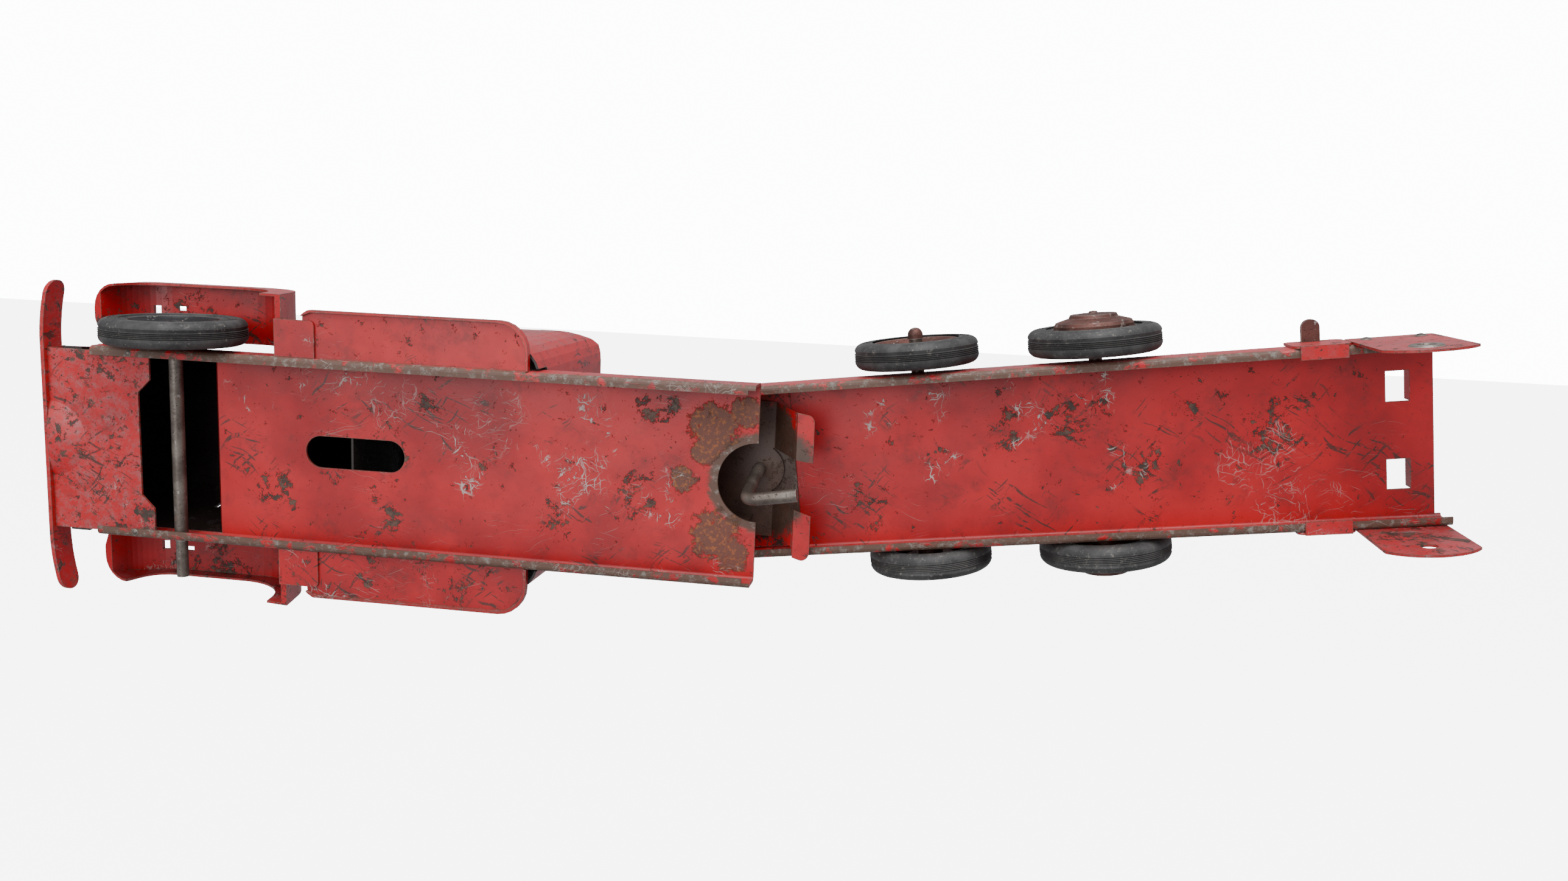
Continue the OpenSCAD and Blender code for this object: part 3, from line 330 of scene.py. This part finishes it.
def steel(name, tone, shade, rust_share, shine=0.55):
    """Bare steel that has gone brown, with rust and rubbed spots."""
    g = Graph(name)
    loose = g.warped(9, 3)
    patches = g.step(g.noise(5, 6, 0.7, at=loose), 0.62 - rust_share, 0.74 - rust_share)
    rubbed = g.step(g.noise(3.4, 5, 0.7), 0.6, 0.68)
    pits = g.step(g.noise(0.9, 3, 0.6), 0.6, 0.72)
    colour = g.mix(g.step(g.noise(11, 4, 0.6), 0.35, 0.65), tone, shade)
    colour = g.mix(patches, colour, g.mix(pits, BROWN, ORANGE_RUST))
    colour = g.mix(g.times(pits, 0.6), colour, DARK_BROWN)
    colour = g.mix(g.times(rubbed, 0.6), colour, PALE_STEEL)
    edge = g.step(g.edges(0.6), 0.04, 0.16)
    colour = g.mix(g.times(edge, 0.6), colour, PALE_STEEL)
    rough = g.plus(shine, g.times(patches, 0.3))
    metal = g.times(g.math("SUBTRACT", 1.0, patches), 0.55)
    relief = g.math("SUBTRACT", g.noise(2.6, 5, 0.7), pits)
    return g.finish(colour, rough, relief, 0.12, metal)


def rubber(name):
    """Hard old rubber: grey-black, dusty in its grooves and scuffed on its tread."""
    g = Graph(name)
    dusty = g.times(g.step(g.noise(1.5, 6, 0.75), 0.55, 0.68), g.step(g.noise(12, 3, 0.6), 0.42, 0.6))
    specks = g.step(g.noise(0.8, 3, 0.6), 0.68, 0.74)
    colour = g.mix(g.step(g.noise(9, 5, 0.65), 0.35, 0.68), BLACK, (0.045, 0.043, 0.042))
    colour = g.mix(g.times(g.highest(dusty, specks), 0.55), colour, DUST)
    edge = g.step(g.edges(0.8), 0.05, 0.2)
    colour = g.mix(g.times(edge, 0.25), colour, (0.09, 0.085, 0.08))
    rough = g.plus(0.5, g.times(g.noise(4, 4, 0.7), 0.3))
    relief = g.plus(g.noise(1.1, 4, 0.65), g.times(g.noise(6, 2, 0.5), 1.5))
    return g.finish(colour, rough, relief, 0.1)


materials = {
    "tractor": enamel("tractor_enamel", lip=22.8, marked=True),
    "trailer": enamel("trailer_enamel", lip=51.3, marked=True),
    "body": enamel("body_enamel", 0.01),
    "worn": enamel("worn_enamel", 0.04, dull=0.4),
    "plate": enamel("plate_enamel", 0.06, dull=0.9),
    "coupler": enamel("coupler_enamel", 0.03, browned_round_pin=True),
    "cab": enamel("cab_enamel", 0.01, hollow=(102, -3.7, 62)),
    "hood": enamel("hood_enamel", 0.01, hollow=(194, -3.7, 52)),
    "tank": enamel("tank_enamel", 0.01),
    "steel": steel("brown_steel", GREY_STEEL, (0.08, 0.062, 0.052), 0.02, 0.4),
    "rusty": steel("rusty_steel", (0.12, 0.045, 0.035), (0.06, 0.026, 0.021), 0.08),
    "black": steel("black_steel", (0.025, 0.025, 0.027), (0.015, 0.015, 0.017), -0.1, 0.4),
    "rubber": rubber("dusty_rubber"),
}
FINISH_OF_SLOT = {
    "red_paint": "body", "worn_paint": "worn", "steel": "steel",
    "rusty_steel": "rusty", "black_steel": "black", "rubber": "rubber",
}
FINISH_OF_NODE = {
    "tractor_chassis": "tractor", "trailer_chassis": "trailer", "front_plate": "plate",
    "fifth_wheel": "coupler", "hitch_stand": "coupler", "nose_doubler": "coupler",
    "cab": "cab", "cab_roof": "cab", "hood": "hood", "grille": "hood",
    "tank_barrel": "tank", "tank_front_head": "tank", "tank_rear_head": "tank",
}
for name, piece in nodes.items():
    for slot in piece.material_slots:
        slot.material = materials[FINISH_OF_NODE.get(name, FINISH_OF_SLOT[slot.material.name])]

# ---- Stage: a pale floor on the truck's right, clear of the trailer when it swings ----
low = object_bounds()[0]
PALE = (0.86, 0.86, 0.87)
table = bpy.data.meshes.new("table")
y = low.y - FLOOR_GAP
far = FLOOR_REACH
table.from_pydata([(-far, y, -far), (-far, y, far), (far, y, far), (far, y, -far)], [], [(0, 1, 2, 3)])
floor = bpy.data.objects.new("table", table)
bpy.context.scene.collection.objects.link(floor)
g = Graph("table_white")
side = g.node("ShaderNodeNewGeometry")
clear = g.node("ShaderNodeBsdfTransparent")
blend = g.node("ShaderNodeMixShader")
g.feed(g.shader.inputs["Base Color"], PALE)
g.shader.inputs["Roughness"].default_value = 0.5
g.shader.inputs["Emission Color"].default_value = (1, 1, 1, 1)
g.shader.inputs["Emission Strength"].default_value = FLOOR_GLOW
g.link(side.outputs["Backfacing"], blend.inputs[0])
g.link(g.shader.outputs[0], blend.inputs[1])
g.link(clear.outputs[0], blend.inputs[2])
output = next(n for n in g.tree.nodes if n.type == "OUTPUT_MATERIAL")
g.link(blend.outputs[0], output.inputs["Surface"])
table.materials.append(g.material)
for ray in ("diffuse", "glossy", "transmission", "shadow", "volume_scatter"):
    setattr(floor, "visible_" + ray, False)

world = bpy.data.worlds.new("studio")
bpy.context.scene.world = world
world.use_nodes = True
backdrop = world.node_tree.nodes["Background"]
backdrop.inputs["Color"].default_value = (0.95, 0.96, 1, 1)
sight = world.node_tree.nodes.new("ShaderNodeLightPath")
glow = world.node_tree.nodes.new("ShaderNodeMapRange")
glow.inputs["To Min"].default_value = BACKDROP_LIT
glow.inputs["To Max"].default_value = BACKDROP_SEEN
world.node_tree.links.new(sight.outputs["Is Camera Ray"], glow.inputs["Value"])
world.node_tree.links.new(glow.outputs["Result"], backdrop.inputs["Strength"])


def area_light(name, place, target, size, power):
    lamp = bpy.data.lights.new(name, "AREA")
    lamp.shape = "SQUARE"
    lamp.size = size
    lamp.energy = power
    made = bpy.data.objects.new(name, lamp)
    made.location = place
    made.rotation_euler = (Vector(target) - Vector(place)).to_track_quat("-Z", "Y").to_euler()
    bpy.context.scene.collection.objects.link(made)


area_light("overhead", (-0.1, 1.3, -0.45), (0, 0, 0.03), 1.2, 30)
area_light("front_fill", (0.4, 0.35, -1.2), (0, 0, 0.03), 1.0, 12)

# ---- Camera: under the truck, with the truck's left side up ----
EYE = Vector((-0.09247, 0.08877, -0.42047))
FORWARD = Vector((0.14392, -0.16368, 0.97596))
UP = Vector((0.06623, 0.98561, 0.15553))
lens = bpy.data.cameras.new("camera")
lens.lens = 29.48
lens.sensor_width = 36
lens.clip_start = 0.01
camera = bpy.data.objects.new("camera", lens)
right = FORWARD.cross(UP).normalized()
turn = Matrix((right, right.cross(FORWARD), -FORWARD)).transposed()
camera.matrix_world = Matrix.Translation(EYE) @ turn.to_4x4()
bpy.context.scene.collection.objects.link(camera)
bpy.context.scene.camera = camera
